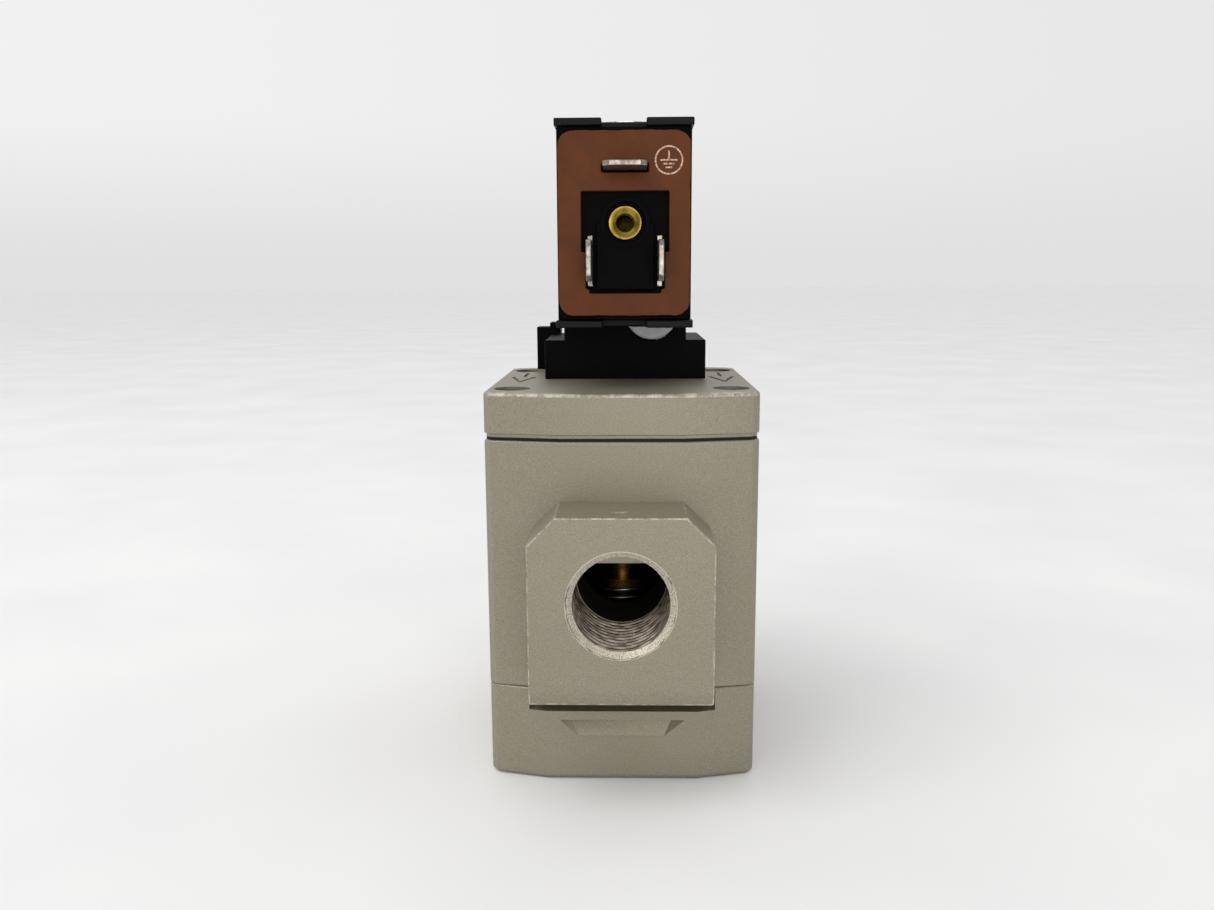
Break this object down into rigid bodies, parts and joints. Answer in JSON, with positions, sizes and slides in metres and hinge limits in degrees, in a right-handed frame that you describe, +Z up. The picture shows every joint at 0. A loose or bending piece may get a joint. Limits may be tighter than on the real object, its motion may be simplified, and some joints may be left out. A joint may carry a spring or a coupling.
{
  "type": "solenoid directional valve",
  "caption": "Pilot-operated on/off solenoid valve: cast three-part body with threaded ports in raised pads, piston-driven poppet, and an upright coil with a blade connector face.",
  "frame": {"origin": "on the body's upright axis, at the underside of the bottom cap", "axes": "+Z up along the body axis towards the coil, -Y out of the front (inlet) port, +X to the right seen from the front port"},
  "size_m": [0.044, 0.071, 0.1092],
  "materials": {
    "cast_paint": "die casting with fine-grained satin champagne paint",
    "black_rubber": "moulded nitrile rubber",
    "dark_screw_steel": "blackened zinc-plated steel",
    "brass": "turned brass",
    "spring_steel": "drawn stainless wire",
    "machined_aluminium": "turned aluminium",
    "ground_steel": "ground stainless steel",
    "black_moulding": "glass-filled moulded plastic",
    "grey_moulding": "smooth moulded acetal",
    "natural_moulding": "natural moulded nylon",
    "enamelled_copper": "enamelled copper wire, layer wound",
    "black_yoke_steel": "black painted steel sheet",
    "tinned_blade": "tin-plated brass strip",
    "brown_gasket": "moulded brown silicone rubber"
  },
  "bodies": {
    "valve_body": {"main_body": "cast_paint", "top_cap": "cast_paint", "bottom_cap": "cast_paint", "cap_gasket": "black_rubber", "cap_screws": "dark_screw_steel", "bottom_screws": "dark_screw_steel", "bottom_o_ring": "black_rubber", "seat_ring": "brass", "poppet_spring": "spring_steel", "poppet_o_ring": "black_rubber", "guide_plate": "machined_aluminium", "guide_plate_o_ring": "black_rubber", "rod_bush": "brass", "rod_o_ring": "black_rubber", "piston_spring": "spring_steel", "pilot_base": "black_moulding", "pilot_gasket": "black_rubber", "pilot_screws": "dark_screw_steel", "pilot_nozzle": "brass", "override_o_ring": "black_rubber", "core_tube": "ground_steel", "core_tube_o_ring": "black_rubber", "fixed_core": "ground_steel", "plunger_spring": "spring_steel", "bobbin": "natural_moulding", "winding": "enamelled_copper", "coil_housing": "black_moulding", "yoke": "black_yoke_steel", "coil_nut": "ground_steel", "line_blades": "tinned_blade", "earth_blade": "tinned_blade", "connector_insert": "brass", "connector_gasket": "brown_gasket"},
    "piston_group": {"piston": "machined_aluminium", "piston_seal": "black_rubber", "piston_rod": "ground_steel", "rod_pad": "black_rubber"},
    "poppet_group": {"poppet": "brass", "poppet_seal": "black_rubber"},
    "plunger_group": {"plunger": "ground_steel", "plunger_seal": "black_rubber", "exhaust_seal": "black_rubber"},
    "override": {"override_button": "grey_moulding"}
  },
  "joints": [
    {"name": "piston_slide", "type": "slide", "parent": "valve_body", "child": "piston_group", "axis": [0, 0, 1], "range_m": [-0.004, 0], "stiffness_N_per_m": 600, "springref_m": 0.006, "deforming": ["piston_spring"]},
    {"name": "poppet_slide", "type": "slide", "parent": "valve_body", "child": "poppet_group", "axis": [0, 0, 1], "range_m": [-0.003, 0], "stiffness_N_per_m": 400, "springref_m": 0.004, "deforming": ["poppet_spring"]},
    {"name": "plunger_slide", "type": "slide", "parent": "valve_body", "child": "plunger_group", "axis": [0, 0, 1], "range_m": [0, 0.0009], "stiffness_N_per_m": 300, "springref_m": -0.003, "deforming": ["plunger_spring"]},
    {"name": "override_slide", "type": "slide", "parent": "valve_body", "child": "override", "axis": [0, 1, 0], "range_m": [0, 0.0015], "stiffness_N_per_m": 300, "springref_m": -0.002}
  ],
  "couplings": [
    {"joint": "poppet_slide", "follows": "piston_slide", "ratio": 0.75}
  ]
}
